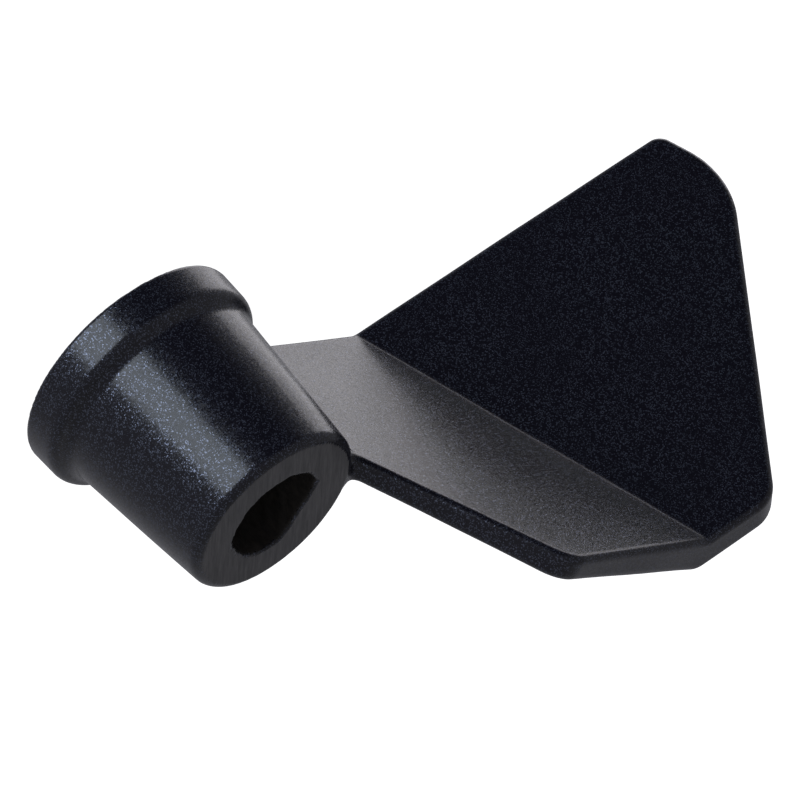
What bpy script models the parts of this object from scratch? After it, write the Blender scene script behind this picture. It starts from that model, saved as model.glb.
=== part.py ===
"""Kneading paddle of a bread machine: a tapered hub with a flared skirt and a D-shaped bore, and a
folded blade of two flat walls whose root seats against the side of the hub.

The drive shaft's axis is upright and the skirt's flat rim stands on z = 0. The blade's outer wall,
the fin, runs parallel to the XZ plane. Sizes are in metres. Shapes are drawn about the shaft's axis,
and an empty then moves them together, so that the origin is the middle of the paddle's base.
"""

import math

import bmesh
import bpy
from mathutils import Vector

# Hub
HUB_HEIGHT = 0.0175
HUB_TOP_RADIUS = 0.0076
BARREL_BASE_RADIUS = 0.00870
HUB_EDGE_RADIUS = 0.0008
SKIRT_HEIGHT = 0.0034
SKIRT_RIM_RADIUS = 0.0095
SKIRT_TOP_RADIUS = 0.0093
SKIRT_EDGE_RADIUS = 0.0006
SKIRT_WALL = 0.0016
RECESS_DEPTH = 0.0045
RECESS_DRAFT = 0.0004
BORE_RADIUS = 0.0040
BORE_FLAT = 0.00285

# Blade: the web leans over its height, and the fin is upright
BLADE_BOTTOM = 0.0013
BLADE_TOP = 0.0326
WEB_ANGLE = math.radians(-36.9)
WEB_OFFSET = 0.0014
WEB_LEAN = math.radians(10.3)
FIN_OFFSET = 0.01424
NEAR_EDGE_START = 0.00796
NEAR_EDGE_END = 0.0156
NEAR_CORNER_RADIUS = 0.0028
FIN_LOWER_REACH = 0.0518
FIN_WIDEST_REACH = 0.0539
FIN_WIDEST_HEIGHT = 0.0076
FIN_WIDEST_RADIUS = 0.0080
FIN_UPPER_REACH = 0.0372
FIN_UPPER_RADIUS = 0.0030
WALL_AT_ROOT = 0.0019
WALL_AT_FOLD = 0.0033
WALL_AT_TIP = 0.0026
BLADE_EDGE_RADIUS = 0.0006

# Fits and facets
SEAT_CLEARANCE = 0.0003
CUT_OVERSHOOT = 0.001
TURN_STEPS = 64
EDGE_STEPS = 3
CORNER_STEPS = 6
MERGE = 1e-6

COATING = (0.012, 0.012, 0.019, 1.0)

WEB_DIRECTION = Vector((math.cos(WEB_ANGLE), math.sin(WEB_ANGLE)))
WEB_NORMAL = Vector((-math.sin(WEB_ANGLE), math.cos(WEB_ANGLE)))


def clear_scene():
    for obj in list(bpy.data.objects):
        bpy.data.objects.remove(obj, do_unlink=True)


def coating(name):
    """Dark non-stick coating with a satin gloss."""
    material = bpy.data.materials.new(name)
    material.use_nodes = True
    shader = material.node_tree.nodes["Principled BSDF"]
    shader.inputs["Base Color"].default_value = COATING
    shader.inputs["Roughness"].default_value = 0.38
    shader.inputs["Metallic"].default_value = 0.0
    material.diffuse_color = COATING
    return material


def object_from(mesh_data, name, is_cutter=False):
    """Turns a bmesh into a named object; a cutter stays out of renders and out of the part."""
    bmesh.ops.recalc_face_normals(mesh_data, faces=mesh_data.faces)
    mesh = bpy.data.meshes.new(name)
    mesh_data.to_mesh(mesh)
    mesh_data.free()
    obj = bpy.data.objects.new(name, mesh)
    bpy.context.scene.collection.objects.link(obj)
    if is_cutter:
        obj.hide_render = True
        obj.display_type = "WIRE"
    else:
        mesh.materials.append(coating(name + "_coating"))
    return obj


def rounded(corners, steps):
    """The outline through these (a, b, radius) corners, with an arc at each corner that has a radius."""
    points = []
    count = len(corners)
    for index, (a, b, radius) in enumerate(corners):
        corner = Vector((a, b))
        if not radius:
            points.append(corner)
            continue
        before = (Vector(corners[index - 1][:2]) - corner).normalized()
        after = (Vector(corners[(index + 1) % count][:2]) - corner).normalized()
        half = before.angle(after) / 2
        middle = corner + (before + after).normalized() * (radius / math.sin(half))
        start = corner + before * (radius / math.tan(half)) - middle
        end = corner + after * (radius / math.tan(half)) - middle
        sweep = start.angle_signed(end)
        for step in range(steps + 1):
            turn = -sweep * step / steps
            turned_to = Vector((
                start.x * math.cos(turn) - start.y * math.sin(turn),
                start.x * math.sin(turn) + start.y * math.cos(turn),
            ))
            points.append(middle + turned_to)
    return points


def turned(profile, name, is_cutter=False):
    """Spins a closed (radius, height) profile, which starts and ends on the axis, about Z."""
    mesh_data = bmesh.new()
    verts = [mesh_data.verts.new((radius, 0, height)) for radius, height in profile]
    edges = [mesh_data.edges.new(pair) for pair in zip(verts, verts[1:])]
    bmesh.ops.spin(
        mesh_data, geom=verts + edges, cent=(0, 0, 0), axis=(0, 0, 1),
        angle=2 * math.pi, steps=TURN_STEPS, use_merge=True,
    )
    bmesh.ops.remove_doubles(mesh_data, verts=mesh_data.verts, dist=MERGE)
    return object_from(mesh_data, name, is_cutter)


def extruded(outline, low, high, name):
    """A cutter: a flat outline in XY, extruded from one height to another."""
    mesh_data = bmesh.new()
    face = mesh_data.faces.new([mesh_data.verts.new((x, y, low)) for x, y in outline])
    top = bmesh.ops.extrude_face_region(mesh_data, geom=[face])["geom"]
    moved = [item for item in top if isinstance(item, bmesh.types.BMVert)]
    bmesh.ops.translate(mesh_data, verts=moved, vec=(0, 0, high - low))
    return object_from(mesh_data, name, is_cutter=True)


def cut(obj, cutter):
    modifier = obj.modifiers.new("cut_" + cutter.name, "BOOLEAN")
    modifier.operation = "DIFFERENCE"
    modifier.solver = "EXACT"
    modifier.object = cutter


def place_about_base_centre(objects):
    """Puts the origin at the middle of the ground that the skirt and the blade span."""
    far_x = max(point.x for point in fin_outline())
    far_y = max(-back_fold(height).y for height in (BLADE_BOTTOM, BLADE_TOP))
    base_centre = bpy.data.objects.new("base_centre", None)
    bpy.context.scene.collection.objects.link(base_centre)
    base_centre.location = ((SKIRT_RIM_RADIUS - far_x) / 2, (far_y - SKIRT_RIM_RADIUS) / 2, 0)
    for obj in objects:
        obj.parent = base_centre


def smooth(obj):
    obj.data.shade_smooth()
    obj.data.set_sharp_from_angle(angle=math.radians(35))


def hub_profile(grow=0.0):
    """The hub's outer outline from the axis at its base to the axis at its top, grown outwards."""
    low = -grow
    high = HUB_HEIGHT + grow
    corners = [
        (0.0, low, 0),
        (SKIRT_RIM_RADIUS + grow, low, SKIRT_EDGE_RADIUS),
        (SKIRT_TOP_RADIUS + grow, SKIRT_HEIGHT + grow, SKIRT_EDGE_RADIUS),
        (BARREL_BASE_RADIUS + grow, SKIRT_HEIGHT + grow, 0),
        (HUB_TOP_RADIUS + grow, high, HUB_EDGE_RADIUS),
        (0.0, high, 0),
    ]
    return rounded(corners, EDGE_STEPS)


def bore_outline():
    """A round bore with one flat, which faces the blade's root."""
    half = math.acos(BORE_FLAT / BORE_RADIUS)
    steps = TURN_STEPS * 3 // 4
    sweep = 2 * (math.pi - half)
    angles = [WEB_ANGLE + half + sweep * step / steps for step in range(steps + 1)]
    return [(BORE_RADIUS * math.cos(angle), BORE_RADIUS * math.sin(angle)) for angle in angles]


def make_hub():
    hub = turned(hub_profile(), "hub")
    bore = extruded(bore_outline(), -CUT_OVERSHOOT, HUB_HEIGHT + CUT_OVERSHOOT, "bore_cutter")
    rim = SKIRT_RIM_RADIUS - SKIRT_WALL
    recess = turned(
        [(0, -CUT_OVERSHOOT), (rim, -CUT_OVERSHOOT), (rim - RECESS_DRAFT, RECESS_DEPTH), (0, RECESS_DEPTH)],
        "recess_cutter", is_cutter=True,
    )
    cut(hub, recess)
    cut(hub, bore)
    smooth(hub)
    return hub


def web_front_offset(height):
    """How far the web's front face stands from the shaft's axis at this height."""
    return WEB_OFFSET + (height - BLADE_BOTTOM) * math.tan(WEB_LEAN)


def fold_reach(height, web_offset, fin_offset):
    """Where a web face at web_offset meets a fin face at y = -fin_offset, as x."""
    return (web_offset + fin_offset * WEB_NORMAL.y) / WEB_NORMAL.x


def front_fold(height):
    return Vector((fold_reach(height, web_front_offset(height), FIN_OFFSET), -FIN_OFFSET, height))


def web_reach_of_fold(height):
    return front_fold(height).xy.dot(WEB_DIRECTION)


def web_wall(reach):
    """The web's thickness, which grows evenly from the near edge to the fold."""
    share = (reach - NEAR_EDGE_START) / (web_reach_of_fold(BLADE_TOP) - NEAR_EDGE_START)
    return WALL_AT_ROOT + (WALL_AT_FOLD - WALL_AT_ROOT) * share


def fin_wall(x):
    """The fin's thickness, which falls evenly from the fold to the tip."""
    fold = front_fold(BLADE_TOP).x
    share = (x - fold) / (FIN_WIDEST_REACH - fold)
    return WALL_AT_FOLD + (WALL_AT_TIP - WALL_AT_FOLD) * share


def web_point(reach, height, is_back):
    offset = web_front_offset(height) - (web_wall(reach) if is_back else 0)
    flat = WEB_DIRECTION * reach + WEB_NORMAL * offset
    return Vector((flat.x, flat.y, height))


def fin_point(x, height, is_back):
    return Vector((x, -FIN_OFFSET - (fin_wall(x) if is_back else 0), height))


def back_fold(height):
    """Where the two back faces meet: a few rounds of substitution settle on the point."""
    point = front_fold(height)
    for _ in range(12):
        reach = point.xy.dot(WEB_DIRECTION)
        fin_offset = FIN_OFFSET + fin_wall(point.x)
        web_offset = web_front_offset(height) - web_wall(reach)
        point = Vector((fold_reach(height, web_offset, fin_offset), -fin_offset, height))
    return point


def web_outline():
    """(reach, height) from the bottom inside the hub, round the near edge, without the fold."""
    slope = (NEAR_EDGE_END - NEAR_EDGE_START) / (BLADE_TOP - HUB_HEIGHT)
    corners = [
        (0.0, BLADE_BOTTOM, 0),
        (web_reach_of_fold(BLADE_BOTTOM), BLADE_BOTTOM, 0),
        (web_reach_of_fold(BLADE_TOP), BLADE_TOP, 0),
        (NEAR_EDGE_END, BLADE_TOP, NEAR_CORNER_RADIUS),
        (NEAR_EDGE_START - slope * SEAT_CLEARANCE, HUB_HEIGHT - SEAT_CLEARANCE, 0),
        (0.0, HUB_HEIGHT - SEAT_CLEARANCE, 0),
    ]
    points = rounded(corners, CORNER_STEPS)
    return points[:1], points[3:]


def fin_outline():
    """(x, height) from the lower outer corner to the upper one, without the fold."""
    corners = [
        (front_fold(BLADE_BOTTOM).x, BLADE_BOTTOM, 0),
        (FIN_LOWER_REACH, BLADE_BOTTOM, 0),
        (FIN_WIDEST_REACH, FIN_WIDEST_HEIGHT, FIN_WIDEST_RADIUS),
        (FIN_UPPER_REACH, BLADE_TOP, FIN_UPPER_RADIUS),
        (front_fold(BLADE_TOP).x, BLADE_TOP, 0),
    ]
    return rounded(corners, CORNER_STEPS)[1:-1]


def blade_face(mesh_data, is_back):
    """One side of the blade as two flat faces that share the fold; returns its outline's vertices."""
    fold = back_fold if is_back else front_fold
    web_start, web_end = web_outline()
    low_fold = mesh_data.verts.new(fold(BLADE_BOTTOM))
    high_fold = mesh_data.verts.new(fold(BLADE_TOP))
    start = [mesh_data.verts.new(web_point(a, b, is_back)) for a, b in web_start]
    end = [mesh_data.verts.new(web_point(a, b, is_back)) for a, b in web_end]
    fin = [mesh_data.verts.new(fin_point(a, b, is_back)) for a, b in fin_outline()]
    mesh_data.faces.new(start + [low_fold, high_fold] + end)
    mesh_data.faces.new([low_fold] + fin + [high_fold])
    return start + [low_fold] + fin + [high_fold] + end


def make_blade():
    mesh_data = bmesh.new()
    front = blade_face(mesh_data, is_back=False)
    back = blade_face(mesh_data, is_back=True)
    for index in range(len(front)):
        following = (index + 1) % len(front)
        mesh_data.faces.new((front[index], front[following], back[following], back[index]))
    blade = object_from(mesh_data, "blade")
    bevel = blade.modifiers.new("edge_rounding", "BEVEL")
    bevel.width = BLADE_EDGE_RADIUS
    bevel.segments = EDGE_STEPS
    bevel.limit_method = "ANGLE"
    bevel.angle_limit = math.radians(50)
    cut(blade, turned(hub_profile(SEAT_CLEARANCE), "seat_cutter", is_cutter=True))
    smooth(blade)
    return blade


def main():
    clear_scene()
    make_hub()
    make_blade()
    place_about_base_centre([obj for obj in bpy.data.objects if obj.type == "MESH"])


main()
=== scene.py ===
"""Looks of a bread machine's kneading paddle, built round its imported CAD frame.

The casting's fine surface comes from distance fields. A field is negative inside, each flat or turned
face is one field, and fields are met with rounded edges or joined with fillets. A net of quads is then
laid where the result is zero. The paddle's sizes are in millimetres about the drive shaft's axis, which
stands on the floor at the middle of the hub's box. Lights and the floor are in metres.
"""

import math

import bmesh
import bpy
import numpy as np
from mathutils import Matrix, Vector


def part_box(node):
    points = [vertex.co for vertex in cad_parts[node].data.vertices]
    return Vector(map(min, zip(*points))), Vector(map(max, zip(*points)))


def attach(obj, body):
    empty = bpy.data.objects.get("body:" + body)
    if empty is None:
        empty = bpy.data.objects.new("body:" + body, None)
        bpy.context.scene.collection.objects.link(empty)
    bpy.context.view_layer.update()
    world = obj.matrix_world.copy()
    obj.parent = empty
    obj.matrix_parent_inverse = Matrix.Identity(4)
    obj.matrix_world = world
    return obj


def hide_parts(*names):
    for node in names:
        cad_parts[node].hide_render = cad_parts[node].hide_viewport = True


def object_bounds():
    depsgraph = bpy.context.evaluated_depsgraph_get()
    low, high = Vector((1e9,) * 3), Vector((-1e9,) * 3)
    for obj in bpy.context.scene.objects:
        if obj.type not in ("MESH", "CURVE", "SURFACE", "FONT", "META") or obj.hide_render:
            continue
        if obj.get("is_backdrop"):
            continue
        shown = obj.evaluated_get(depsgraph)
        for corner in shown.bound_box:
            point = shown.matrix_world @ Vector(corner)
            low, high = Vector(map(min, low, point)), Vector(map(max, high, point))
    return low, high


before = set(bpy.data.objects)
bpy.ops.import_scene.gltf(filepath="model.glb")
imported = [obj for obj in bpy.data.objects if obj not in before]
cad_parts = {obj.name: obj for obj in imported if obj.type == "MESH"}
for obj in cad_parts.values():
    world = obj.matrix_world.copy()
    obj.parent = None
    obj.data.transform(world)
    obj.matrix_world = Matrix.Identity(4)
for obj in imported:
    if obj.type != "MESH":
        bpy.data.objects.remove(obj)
CAD_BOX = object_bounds()

MM = 0.001
HUB_LOW, HUB_HIGH = (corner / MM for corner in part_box("hub"))
BLADE_LOW, BLADE_HIGH = (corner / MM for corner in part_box("blade"))
SHAFT = np.array([(HUB_LOW.x + HUB_HIGH.x) / 2, (HUB_LOW.y + HUB_HIGH.y) / 2, 0.0])

# Hub: a tapered barrel and a skirt, whose centre is a little off the barrel's
HUB_HEIGHT = HUB_HIGH.z
HUB_TOP_RADIUS = 7.6
BARREL_BASE_RADIUS = 8.70
HUB_EDGE_RADIUS = 0.75
SKIRT_HEIGHT = 3.4
SKIRT_FLARE_HEIGHT = 1.7
SKIRT_RIM_RADIUS = 9.45
SKIRT_WAIST_RADIUS = 9.48
SKIRT_TOP_RADIUS = 9.4
SKIRT_EDGE_RADIUS = 0.85
SKIRT_SHIFT = (-0.2, -0.09)
LEDGE_FILLET = 0.9
RIM_INNER_RADIUS = 8.1
RIM_EDGE_RADIUS = 0.4
RECESS_DEPTH = 4.5
RECESS_DRAFT = 0.4
RECESS_CORNER_RADIUS = 0.6
BORE_RADIUS = 4.0
BORE_FLAT = 2.85
BORE_CORNER_RADIUS = 0.3
BORE_EDGE_RADIUS = 0.22

# Blade: the web leans over its height, and the fin is upright
BLADE_BOTTOM = BLADE_LOW.z
BLADE_TOP = BLADE_HIGH.z
WEB_ANGLE = math.radians(-36.9)
WEB_OFFSET = 1.4
WEB_LEAN = math.radians(10.3)
FIN_OFFSET = 14.24
NEAR_EDGE_LOW = (7.96, 17.5)
NEAR_EDGE_HIGH = (15.6, BLADE_TOP)
NEAR_CORNER_RADIUS = 2.8
FIN_LOWER_CORNER = (51.8, BLADE_BOTTOM)
FIN_WIDEST_CORNER = (53.9, 7.6)
FIN_WIDEST_RADIUS = 8.0
FIN_UPPER_CORNER = (37.2, BLADE_TOP)
FIN_UPPER_RADIUS = 3.0
FIN_LOWER_RADIUS = 1.4
WALL_AT_ROOT = 1.9
WALL_AT_FOLD = 3.3
WALL_AT_TIP = 2.6
BLADE_EDGE_RADIUS = 0.6
FOLD_FILLET = 0.9
FOLD_OUTER_RADIUS = 2.0

# Where the blade's root runs into the hub
ROOT_FILLET = 1.5
ROOT_TUCK = 0.02
ROOT_TUCK_SLOPE = 0.5
ROOT_SKIN = 0.3
ROOT_DEPTH = 1.0
ROOT_SPREAD = 3.0

# Casting marks
WOBBLE_SIZE = 0.018
WOBBLE_LENGTH = 9.0
BORE_WOBBLE_SIZE = 0.05
BORE_WOBBLE_LENGTH = 1.5
WAVE_COUNT = 7
WAVE_SPREAD = (0.6, 1.6)
HUB_SEED = 3
BLADE_SEED = 4
BORE_SEED = 5
BURR_RADIUS = 0.34
BURR_ANGLE = WEB_ANGLE + math.acos(BORE_FLAT / BORE_RADIUS)

# The net of quads
CELL = 0.25
MARGIN = 3 * CELL
SETTLING_ROUNDS = 3
SLOPE_STEP = 0.03

WEB_DIRECTION = (math.cos(WEB_ANGLE), math.sin(WEB_ANGLE))


def length(a, b):
    return np.sqrt(a * a + b * b)


def met(a, b, radius, turn=math.pi / 2):
    """What is inside both fields, with the edge rounded. The turn is the angle between their normals."""
    u, v, shared = a + radius, b + radius, math.cos(turn)
    squared = np.maximum(u * u + v * v - 2 * u * v * shared, 0)
    arc = np.sqrt(squared) / math.sin(turn) - radius
    return np.where((u > v * shared) & (v > u * shared), arc, np.maximum(a, b))


def joined(a, b, radius, turn=math.pi / 2):
    """What is inside either field, with a fillet in the corner between them."""
    return -met(-a, -b, radius, turn)


def turn_at(corner, before, after):
    """How far a line that comes from one (a, b) point turns at this corner to go on to the next."""
    arriving = math.atan2(corner[1] - before[1], corner[0] - before[0])
    leaving = math.atan2(after[1] - corner[1], after[0] - corner[0])
    return abs(math.remainder(leaving - arriving, 2 * math.pi))


def right_of(a, b, start, end):
    """Distance to the right of the line from start to end, in the plane of a and b."""
    run, rise = end[0] - start[0], end[1] - start[1]
    return ((a - start[0]) * rise - (b - start[1]) * run) / math.hypot(run, rise)


def waves(points, size, wavelength, seed):
    """Slow uneven waves, as a casting's surface has."""
    random = np.random.default_rng(seed)
    total = np.zeros(len(points))
    for _ in range(WAVE_COUNT):
        direction = random.normal(size=3)
        direction *= 2 * math.pi * random.uniform(*WAVE_SPREAD) / wavelength / np.linalg.norm(direction)
        total += np.sin(points @ direction + random.uniform(0, 2 * math.pi))
    return total * size / math.sqrt(WAVE_COUNT)


def hub_outside(points):
    """The barrel and its flared skirt, without the bore and the recess."""
    radius, height = length(points[:, 0], points[:, 1]), points[:, 2]
    side = right_of(radius, height, (BARREL_BASE_RADIUS, SKIRT_HEIGHT), (HUB_TOP_RADIUS, HUB_HEIGHT))
    barrel = met(side, height - HUB_HEIGHT, HUB_EDGE_RADIUS)
    skirt_radius = length(points[:, 0] - SKIRT_SHIFT[0], points[:, 1] - SKIRT_SHIFT[1])
    rim, waist = (SKIRT_RIM_RADIUS, 0), (SKIRT_WAIST_RADIUS, SKIRT_FLARE_HEIGHT)
    flare = right_of(skirt_radius, height, rim, waist)
    band = right_of(skirt_radius, height, waist, (SKIRT_TOP_RADIUS, SKIRT_HEIGHT))
    skirt = met(joined(flare, band, SKIRT_EDGE_RADIUS), height - SKIRT_HEIGHT, SKIRT_EDGE_RADIUS)
    both = met(joined(barrel, skirt, LEDGE_FILLET), -height, RIM_EDGE_RADIUS)
    return both + waves(points, WOBBLE_SIZE, WOBBLE_LENGTH, HUB_SEED)


def bore(points):
    """The D-shaped hole for the drive shaft, with its flat towards the blade's root."""
    radius = length(points[:, 0], points[:, 1])
    across = points[:, 0] * WEB_DIRECTION[0] + points[:, 1] * WEB_DIRECTION[1]
    hole = met(radius - BORE_RADIUS, across - BORE_FLAT, BORE_CORNER_RADIUS)
    return hole + waves(points, BORE_WOBBLE_SIZE, BORE_WOBBLE_LENGTH, BORE_SEED)


def recess(points):
    """The hollow under the skirt."""
    radius, height = length(points[:, 0], points[:, 1]), points[:, 2]
    mouth, ceiling = (RIM_INNER_RADIUS, 0), (RIM_INNER_RADIUS - RECESS_DRAFT, RECESS_DEPTH)
    wall = right_of(radius, height, mouth, ceiling)
    return met(wall, height - RECESS_DEPTH, RECESS_CORNER_RADIUS)


def burr(points):
    """A scrap of coating left in the corner of the bore's upper mouth."""
    reach = BORE_RADIUS + BURR_RADIUS / 4
    x, y = math.cos(BURR_ANGLE) * reach, math.sin(BURR_ANGLE) * reach
    place = np.array([x, y, HUB_HEIGHT - BURR_RADIUS])
    return np.linalg.norm(points - place, axis=1) - BURR_RADIUS


def hub_field(points):
    """The whole hub, with the recess and the bore cut out and the burr added."""
    hollow = met(hub_outside(points), -recess(points), RIM_EDGE_RADIUS)
    bored = met(hollow, -bore(points), BORE_EDGE_RADIUS)
    return joined(bored, burr(points), BURR_RADIUS / 2)


def web_front_offset(height):
    """How far the web's front face stands from the shaft's axis at this height."""
    return WEB_OFFSET + (height - BLADE_BOTTOM) * math.tan(WEB_LEAN)


def fold_at_top():
    """(x, reach) of the front fold at the blade's top."""
    x = (web_front_offset(BLADE_TOP) + FIN_OFFSET * WEB_DIRECTION[0]) / -WEB_DIRECTION[1]
    return x, x * WEB_DIRECTION[0] - FIN_OFFSET * WEB_DIRECTION[1]


def blade_outline(reach, x, height):
    """The blade's edges: bottom, lower end, far edge, top and near edge."""
    lower_end = right_of(x, height, FIN_LOWER_CORNER, FIN_WIDEST_CORNER)
    far_edge = right_of(x, height, FIN_WIDEST_CORNER, FIN_UPPER_CORNER)
    near_edge = right_of(reach, height, NEAR_EDGE_HIGH, NEAR_EDGE_LOW)
    lower_turn = turn_at(FIN_LOWER_CORNER, (0, BLADE_BOTTOM), FIN_WIDEST_CORNER)
    widest_turn = turn_at(FIN_WIDEST_CORNER, FIN_LOWER_CORNER, FIN_UPPER_CORNER)
    upper_turn = turn_at(FIN_UPPER_CORNER, FIN_WIDEST_CORNER, (0, BLADE_TOP))
    near_turn = turn_at(NEAR_EDGE_HIGH, FIN_UPPER_CORNER, NEAR_EDGE_LOW)
    far_end = met(lower_end, far_edge, FIN_WIDEST_RADIUS, widest_turn)
    topped = met(far_end, height - BLADE_TOP, FIN_UPPER_RADIUS, upper_turn)
    footed = met(topped, BLADE_BOTTOM - height, FIN_LOWER_RADIUS, lower_turn)
    return met(footed, near_edge, NEAR_CORNER_RADIUS, near_turn)


def blade_field(points):
    """The web and the fin, which thicken towards the fold between them."""
    x, y, height = points.T
    reach = x * WEB_DIRECTION[0] + y * WEB_DIRECTION[1]
    side = y * WEB_DIRECTION[0] - x * WEB_DIRECTION[1]
    fold_x, fold_reach = fold_at_top()
    web_share = (reach - NEAR_EDGE_LOW[0]) / (fold_reach - NEAR_EDGE_LOW[0])
    fin_share = (x - fold_x) / (FIN_WIDEST_CORNER[0] - fold_x)
    web_wall = WALL_AT_ROOT + (WALL_AT_FOLD - WALL_AT_ROOT) * web_share
    fin_wall = WALL_AT_FOLD + (WALL_AT_TIP - WALL_AT_FOLD) * fin_share
    web_front = (side - web_front_offset(height)) * math.cos(WEB_LEAN)
    web_back = (web_front_offset(height) - web_wall - side) * math.cos(WEB_LEAN)
    front = joined(web_front, y + FIN_OFFSET, FOLD_FILLET, -WEB_ANGLE)
    back = met(web_back, -FIN_OFFSET - fin_wall - y, FOLD_OUTER_RADIUS, -WEB_ANGLE)
    outline = blade_outline(reach, x, height)
    both = np.maximum(met(front, outline, BLADE_EDGE_RADIUS), met(back, outline, BLADE_EDGE_RADIUS))
    return both + waves(points, WOBBLE_SIZE, WOBBLE_LENGTH, BLADE_SEED)


def rooted_blade(points):
    """The blade with its root fillet, which spreads over the hub and then dives under its skin."""
    hub = hub_outside(points)
    blade = np.maximum(blade_field(points), -hub - ROOT_DEPTH)
    tuck = ROOT_TUCK + ROOT_TUCK_SLOPE * np.maximum(blade - ROOT_FILLET, 0)
    outside = np.maximum(joined(hub + tuck, blade, ROOT_FILLET), -hub - ROOT_SKIN)
    return np.maximum(outside, ROOT_SKIN - recess(points))


def cell_corners(values):
    """The eight arrays of a grid's values at its cells' corners, and each one's place in the cell."""
    for place in np.ndindex(2, 2, 2):
        low_to_high = tuple(slice(step, size - 1 + step) for step, size in zip(place, values.shape))
        yield values[low_to_high], np.array(place)


def net_points(values):
    """Which cells the surface crosses, and in each of them the mean of its crossings with the edges."""
    corners = list(cell_corners(values))
    insides = sum((value < 0).astype(int) for value, _ in corners)
    crossed = (insides > 0) & (insides < len(corners))
    total, count = np.zeros((crossed.sum(), 3)), np.zeros(crossed.sum())
    for near, near_place in corners:
        for far, far_place in corners:
            step = far_place - near_place
            if step.min() < 0 or step.sum() != 1:
                continue
            a, b = near[crossed], far[crossed]
            cuts = (a < 0) != (b < 0)
            share = np.where(cuts, a / np.where(cuts, a - b, 1), 0)
            total += cuts[:, None] * (near_place + share[:, None] * step)
            count += cuts
    return crossed, total / count[:, None]


def net_faces(values, crossed):
    """A quad round each grid edge that the surface cuts, turned to face out."""
    index = np.full(crossed.shape, -1)
    index[crossed] = np.arange(crossed.sum())
    faces = []
    for axis in range(3):
        u, v = np.eye(3, dtype=int)[(axis + 1) % 3], np.eye(3, dtype=int)[(axis + 2) % 3]
        inside = np.moveaxis(values < 0, axis, 0)
        cut = np.moveaxis(inside[:-1] != inside[1:], 0, axis)
        starts_inside = np.moveaxis(inside[:-1], 0, axis)
        edge = np.argwhere(cut)
        quad = np.stack([index[tuple((edge - step).T)] for step in (0 * u, u, u + v, v)], 1)
        outwards = starts_inside[cut]
        faces.append(np.where(outwards[:, None], quad, quad[:, ::-1]))
    return np.concatenate(faces)


def slope_of(field, points):
    """The field's gradient at each point."""
    steps = np.eye(3) * SLOPE_STEP
    rises = [field(points + step) - field(points - step) for step in steps]
    return np.stack(rises, 1) / (2 * SLOPE_STEP)


def cast_piece(name, field, low, high):
    """A closed mesh of the field's surface between two corners, with its normals."""
    low, high = np.array(low) - MARGIN - SHAFT, np.array(high) + MARGIN - SHAFT
    counts = np.ceil((high - low) / CELL).astype(int) + 1
    grid = low + CELL * np.stack(np.meshgrid(*map(np.arange, counts), indexing="ij"), -1)
    values = field(grid.reshape(-1, 3)).reshape(counts)
    crossed, shares = net_points(values)
    points = low + CELL * (np.argwhere(crossed) + shares)
    for _ in range(SETTLING_ROUNDS):
        slope = slope_of(field, points)
        step = -(field(points) / (slope * slope).sum(1))[:, None] * slope
        points += np.clip(step, -CELL / 2, CELL / 2)
    slope = slope_of(field, points)
    mesh = bpy.data.meshes.new(name)
    mesh.from_pydata((points + SHAFT) * MM, [], net_faces(values, crossed).tolist())
    mesh.shade_smooth()
    mesh.normals_split_custom_set_from_vertices(slope / np.linalg.norm(slope, axis=1)[:, None])
    obj = bpy.data.objects.new(name, mesh)
    bpy.context.scene.collection.objects.link(obj)
    return obj


# ---------------------------------------------------------------- materials

COATING = (0.0046, 0.0043, 0.0085, 1.0)
COATING_ROUGHNESS = 0.27
COATING_SPECULAR = 0.20
FLAKE = (0.13, 0.145, 0.195, 1.0)
FLAKE_SIZE = 0.08 * MM
FLAKE_TILT = 0.24
FLAKE_SHARE = 0.77
FLAKE_SOFTNESS = 0.25
FILM_WEIGHT = 0.5
FILM_ROUGHNESS = 0.19
PEEL_SIZE = 0.35 * MM
PEEL_HEIGHT = 0.007 * MM

# The end face's grinding strokes, on a grey that is a painted reflection of a pale floor, and the bore's
# rough metal
STROKE_ANGLE = math.radians(-12)
SHADE_RANGE = (0.35, 0.68)
# The end face's two greys: their strokes are the face's own, and their lightness is a painted reflection
# of a pale floor
FACE_SHADES_WITH_PAINTED_REFLECTION = (0.040, 0.040, 0.042, 1.0), (0.105, 0.102, 0.104, 1.0)
FACE_STROKES = (5.0, 0.35, 1.0)
FACE_LEAST_SLOPE = 0.985
FACE_DEPTH = 0.3
BORE_SHADES = (0.006, 0.005, 0.004, 1.0), (0.030, 0.025, 0.020, 1.0)
BORE_GRAIN = (2.2, 2.2, 0.9)
BORE_SKIN = 0.12


def new_material(name):
    material = bpy.data.materials.new(name)
    material.use_nodes = True
    return material, material.node_tree.nodes, material.node_tree.links


def node(nodes, kind, **values):
    """A node with its properties, and its inputs where a value names one."""
    made = nodes.new(kind)
    for name, value in values.items():
        if hasattr(made, name):
            setattr(made, name, value)
        else:
            made.inputs[name.replace("_", " ")].default_value = value
    return made


def colours(sockets):
    """Those sockets that carry a colour."""
    return [socket for socket in sockets if socket.type == "RGBA"]


def tilted(nodes, links, cells):
    """The surface's normal, tilted another way in each cell."""
    tilt = node(nodes, "ShaderNodeVectorMath", operation="SUBTRACT")
    tilt.inputs[1].default_value = (0.5, 0.5, 0.5)
    links.new(cells.outputs["Color"], tilt.inputs[0])
    turned = node(nodes, "ShaderNodeVectorMath", operation="MULTIPLY_ADD")
    turned.inputs[1].default_value = (FLAKE_TILT,) * 3
    links.new(tilt.outputs[0], turned.inputs[0])
    links.new(nodes.new("ShaderNodeNewGeometry").outputs["Normal"], turned.inputs[2])
    facing = node(nodes, "ShaderNodeVectorMath", operation="NORMALIZE")
    links.new(turned.outputs[0], facing.inputs[0])
    return facing.outputs[0]


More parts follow.
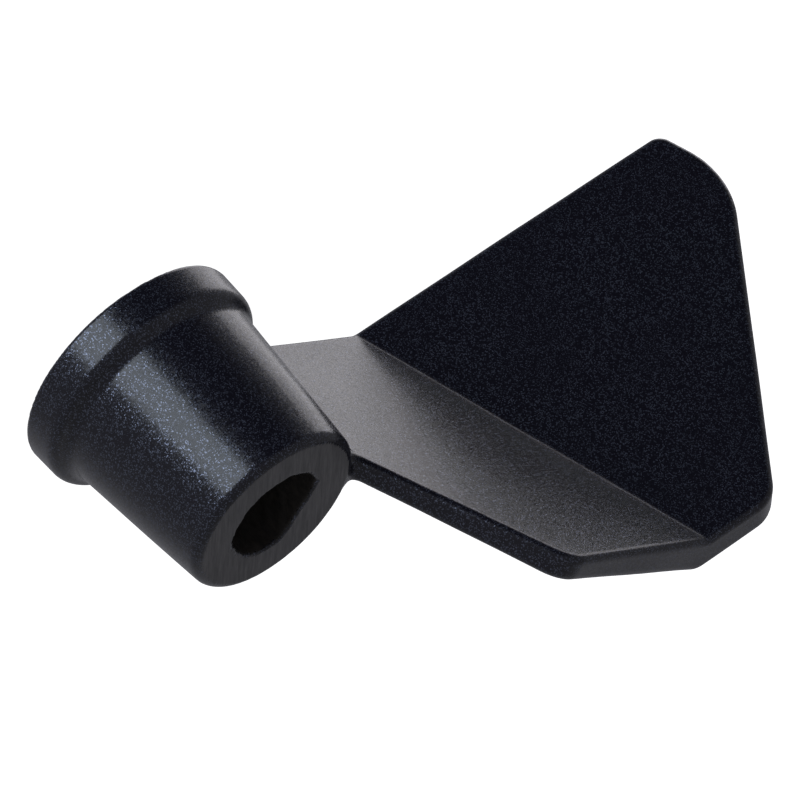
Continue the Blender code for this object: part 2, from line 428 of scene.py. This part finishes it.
def flake_share(nodes, links, cells):
    """How much of a metal flake each cell is: most cells are none."""
    split = nodes.new("ShaderNodeSeparateColor")
    links.new(cells.outputs["Color"], split.inputs[0])
    share = node(nodes, "ShaderNodeMapRange", clamp=True)
    share.inputs["From Min"].default_value = FLAKE_SHARE
    share.inputs["From Max"].default_value = FLAKE_SHARE + FLAKE_SOFTNESS
    links.new(split.outputs["Green"], share.inputs["Value"])
    return share.outputs[0]


def coating():
    """Satin clear film with fine metal flakes in a blue-black base."""
    material, nodes, links = new_material("coating")
    shader = nodes["Principled BSDF"]
    place = nodes.new("ShaderNodeTexCoord").outputs["Object"]
    cells = node(nodes, "ShaderNodeTexVoronoi", feature="F1", Scale=1 / FLAKE_SIZE, Randomness=1.0)
    links.new(place, cells.inputs["Vector"])
    links.new(tilted(nodes, links, cells), shader.inputs["Normal"])

    share = flake_share(nodes, links, cells)
    colour = node(nodes, "ShaderNodeMix", data_type="RGBA")
    for socket, value in zip(colours(colour.inputs), (COATING, FLAKE)):
        socket.default_value = value
    links.new(share, colour.inputs["Factor"])
    links.new(colours(colour.outputs)[0], shader.inputs["Base Color"])
    links.new(share, shader.inputs["Metallic"])

    peel = node(nodes, "ShaderNodeTexNoise", Scale=1 / PEEL_SIZE, Detail=4.0, Roughness=0.6)
    links.new(place, peel.inputs["Vector"])
    bump = node(nodes, "ShaderNodeBump", Distance=PEEL_HEIGHT, Strength=1.0)
    links.new(peel.outputs[0], bump.inputs["Height"])
    links.new(bump.outputs[0], shader.inputs["Coat Normal"])
    shader.inputs["Roughness"].default_value = COATING_ROUGHNESS
    shader.inputs["Specular IOR Level"].default_value = COATING_SPECULAR
    shader.inputs["Coat Weight"].default_value = FILM_WEIGHT
    shader.inputs["Coat Roughness"].default_value = FILM_ROUGHNESS
    return material


def streaked(name, shades, scale, roughness, relief):
    """A dull surface whose shade and relief vary with noise, drawn out where the scale is small."""
    material, nodes, links = new_material(name)
    shader = nodes["Principled BSDF"]
    stretch = nodes.new("ShaderNodeMapping")
    stretch.inputs["Scale"].default_value = [value / MM for value in scale]
    stretch.inputs["Rotation"].default_value = (0, 0, STROKE_ANGLE)
    links.new(nodes.new("ShaderNodeTexCoord").outputs["Object"], stretch.inputs["Vector"])
    noise = node(nodes, "ShaderNodeTexNoise", Scale=1.0, Detail=5.0, Roughness=0.65)
    links.new(stretch.outputs[0], noise.inputs["Vector"])
    shade = nodes.new("ShaderNodeValToRGB")
    for element, position, colour in zip(shade.color_ramp.elements, SHADE_RANGE, shades):
        element.position, element.color = position, colour
    links.new(noise.outputs[0], shade.inputs["Fac"])
    links.new(shade.outputs["Color"], shader.inputs["Base Color"])
    bump = node(nodes, "ShaderNodeBump", Distance=relief * MM, Strength=1.0)
    links.new(noise.outputs[0], bump.inputs["Height"])
    links.new(bump.outputs[0], shader.inputs["Normal"])
    shader.inputs["Roughness"].default_value = roughness
    return material


def dress_hub(hub, paint):
    """Coating outside, a ground end face whose grey is a painted reflection, and rough dark metal in the
    bore.
    """
    # The ground face's grey is a painted reflection of a pale floor, and its strokes are its own
    face = streaked("ground_face_painted_reflection", FACE_SHADES_WITH_PAINTED_REFLECTION, FACE_STROKES, roughness=0.48, relief=0.012)
    bare = streaked("bore_metal", BORE_SHADES, BORE_GRAIN, roughness=0.62, relief=0.05)
    for material in (paint, face, bare):
        hub.data.materials.append(material)
    for polygon in hub.data.polygons:
        x, y, height = np.array(polygon.center) / MM - SHAFT
        if polygon.normal.z > FACE_LEAST_SLOPE and height > HUB_HEIGHT - FACE_DEPTH:
            polygon.material_index = 1
        if math.hypot(x, y) < BORE_RADIUS + BORE_SKIN and height < HUB_HEIGHT - BORE_EDGE_RADIUS:
            polygon.material_index = 2


# ---------------------------------------------------------------- stage, light and camera

CAMERA_DISTANCE = 1.5
CAMERA_TARGET = Vector((-10.18, 9.06, 17.63)) * MM
CAMERA_PLACE = CAMERA_TARGET + Vector((-262.83, 582.75, 285.40)) * MM * CAMERA_DISTANCE
IMAGE_UP = Vector((0.5154, 0.5426, -0.6634))
LENS = 422.7 * CAMERA_DISTANCE
SENSOR_WIDTH = 36
NEAREST, FARTHEST = 0.01, 50

CAMERA_BACK = (CAMERA_PLACE - CAMERA_TARGET).normalized()
CAMERA_RIGHT = IMAGE_UP.cross(CAMERA_BACK).normalized()
CAMERA_UP = CAMERA_BACK.cross(CAMERA_RIGHT)


def from_camera(right, up, back):
    """A direction given as a photographer would: right, up and towards the camera."""
    return (CAMERA_RIGHT * right + CAMERA_UP * up + CAMERA_BACK * back).normalized()


FLOOR_RADIUS = 6.0
DOME_RADIUS = 9.0

DARK_SIDE = from_camera(0.05, 0.91, 0.41)
DARK_RADIANCE = 0.03
DARK_CORE_ANGLE = math.radians(24)
DARK_EDGE_ANGLE = math.radians(58)
TENT_RADIANCE = 0.27
TENT_COLOUR = (0.93, 0.93, 1, 1)


def make_camera():
    data = bpy.data.cameras.new("camera")
    data.lens = LENS
    data.sensor_width = SENSOR_WIDTH
    data.clip_start, data.clip_end = NEAREST, FARTHEST
    camera = bpy.data.objects.new("camera", data)
    bpy.context.scene.collection.objects.link(camera)
    turn = Matrix((CAMERA_RIGHT, CAMERA_UP, CAMERA_BACK)).transposed().to_4x4()
    camera.matrix_world = Matrix.Translation(CAMERA_PLACE) @ turn
    bpy.context.scene.camera = camera


def softbox(name, direction, distance, size, radiance, colour):
    """A rectangular area light in that direction from the paddle, facing it."""
    data = bpy.data.lights.new(name, "AREA")
    data.shape = "RECTANGLE"
    data.size, data.size_y = size
    data.energy = radiance * math.pi * size[0] * size[1]
    data.color = colour
    light = bpy.data.objects.new(name, data)
    bpy.context.scene.collection.objects.link(light)
    light.location = CAMERA_TARGET + direction * distance
    light.rotation_mode = "QUATERNION"
    light.rotation_quaternion = direction.to_track_quat("Z", "Y")
    light.visible_camera = False


def make_softboxes():
    """A cool key from the camera's left, and a larger light behind the paddle for the web."""
    key = from_camera(-0.59, 0.46, 0.655)
    back = from_camera(0.277, 0.639, -0.717)
    softbox("key", key, distance=0.5, size=(0.34, 0.5), radiance=3.5, colour=(0.80, 0.89, 1.0))
    softbox("back", back, distance=1.2, size=(0.8, 0.8), radiance=1.15, colour=(1.0, 0.97, 1.0))


def white_surface(name, mesh, shade, roughness):
    """A glowing surface for the camera only, so that the lights beyond it still reach the paddle."""
    material, nodes, _ = new_material(name + "_paper")
    shader = nodes["Principled BSDF"]
    shader.inputs["Base Color"].default_value = (shade, shade, shade, 1)
    shader.inputs["Roughness"].default_value = roughness
    shader.inputs["Specular IOR Level"].default_value = 0.0
    shader.inputs["Emission Color"].default_value = (1, 1, 1, 1)
    shader.inputs["Emission Strength"].default_value = 1.0
    mesh.materials.append(material)
    surface = bpy.data.objects.new(name, mesh)
    bpy.context.scene.collection.objects.link(surface)
    surface.visible_diffuse = False
    surface.visible_glossy = False
    surface.visible_transmission = False
    surface.visible_shadow = False
    return surface


def make_floor():
    mesh = bpy.data.meshes.new("floor")
    corners = [(x * FLOOR_RADIUS, y * FLOOR_RADIUS, 0) for x, y in ((-1, -1), (1, -1), (1, 1), (-1, 1))]
    mesh.from_pydata(corners, [], [(0, 1, 2, 3)])
    floor = white_surface("floor", mesh, shade=0.85, roughness=1.0)
    floor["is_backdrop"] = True


def make_backdrop():
    """A plain white dome beyond the floor."""
    mesh = bpy.data.meshes.new("backdrop")
    shape = bmesh.new()
    bmesh.ops.create_uvsphere(shape, u_segments=32, v_segments=16, radius=DOME_RADIUS)
    shape.to_mesh(mesh)
    shape.free()
    backdrop = white_surface("backdrop", mesh, shade=0, roughness=0.5)
    backdrop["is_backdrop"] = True


def make_tent():
    """World light: an even pale tent with one dark side, which the fin mirrors."""
    world = bpy.data.worlds.new("tent")
    bpy.context.scene.world = world
    world.use_nodes = True
    nodes, links = world.node_tree.nodes, world.node_tree.links
    place = nodes.new("ShaderNodeTexCoord").outputs["Generated"]
    towards = node(nodes, "ShaderNodeVectorMath", operation="DOT_PRODUCT")
    towards.inputs[1].default_value = DARK_SIDE
    links.new(place, towards.inputs[0])
    fade = node(nodes, "ShaderNodeMapRange", interpolation_type="SMOOTHSTEP")
    fade.inputs["From Min"].default_value = math.cos(DARK_EDGE_ANGLE)
    fade.inputs["From Max"].default_value = math.cos(DARK_CORE_ANGLE)
    fade.inputs["To Min"].default_value = TENT_RADIANCE
    fade.inputs["To Max"].default_value = DARK_RADIANCE
    links.new(towards.outputs["Value"], fade.inputs["Value"])
    nodes["Background"].inputs["Color"].default_value = TENT_COLOUR
    links.new(fade.outputs[0], nodes["Background"].inputs["Strength"])


# ---------------------------------------------------------------- the paddle

def make_paddle():
    """The two castings on their frame nodes, in one coating."""
    hub = cast_piece("hub_casting", hub_field, HUB_LOW, HUB_HIGH)
    low = BLADE_LOW - Vector((ROOT_SPREAD, ROOT_SPREAD, BLADE_LOW.z))
    high = BLADE_HIGH + Vector((0, ROOT_SPREAD, 0))
    blade = cast_piece("blade_casting", rooted_blade, low, high)
    paint = coating()
    dress_hub(hub, paint)
    blade.data.materials.append(paint)
    for obj, name in ((hub, "hub"), (blade, "blade")):
        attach(obj, "root")
        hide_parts(name)


def main():
    bpy.context.scene.view_settings.view_transform = "Standard"
    make_camera()
    make_tent()
    make_softboxes()
    make_floor()
    make_backdrop()
    make_paddle()


main()
boxes = {"cad": CAD_BOX, "visual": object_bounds()}
{name: [list(corner) for corner in box] for name, box in boxes.items()}
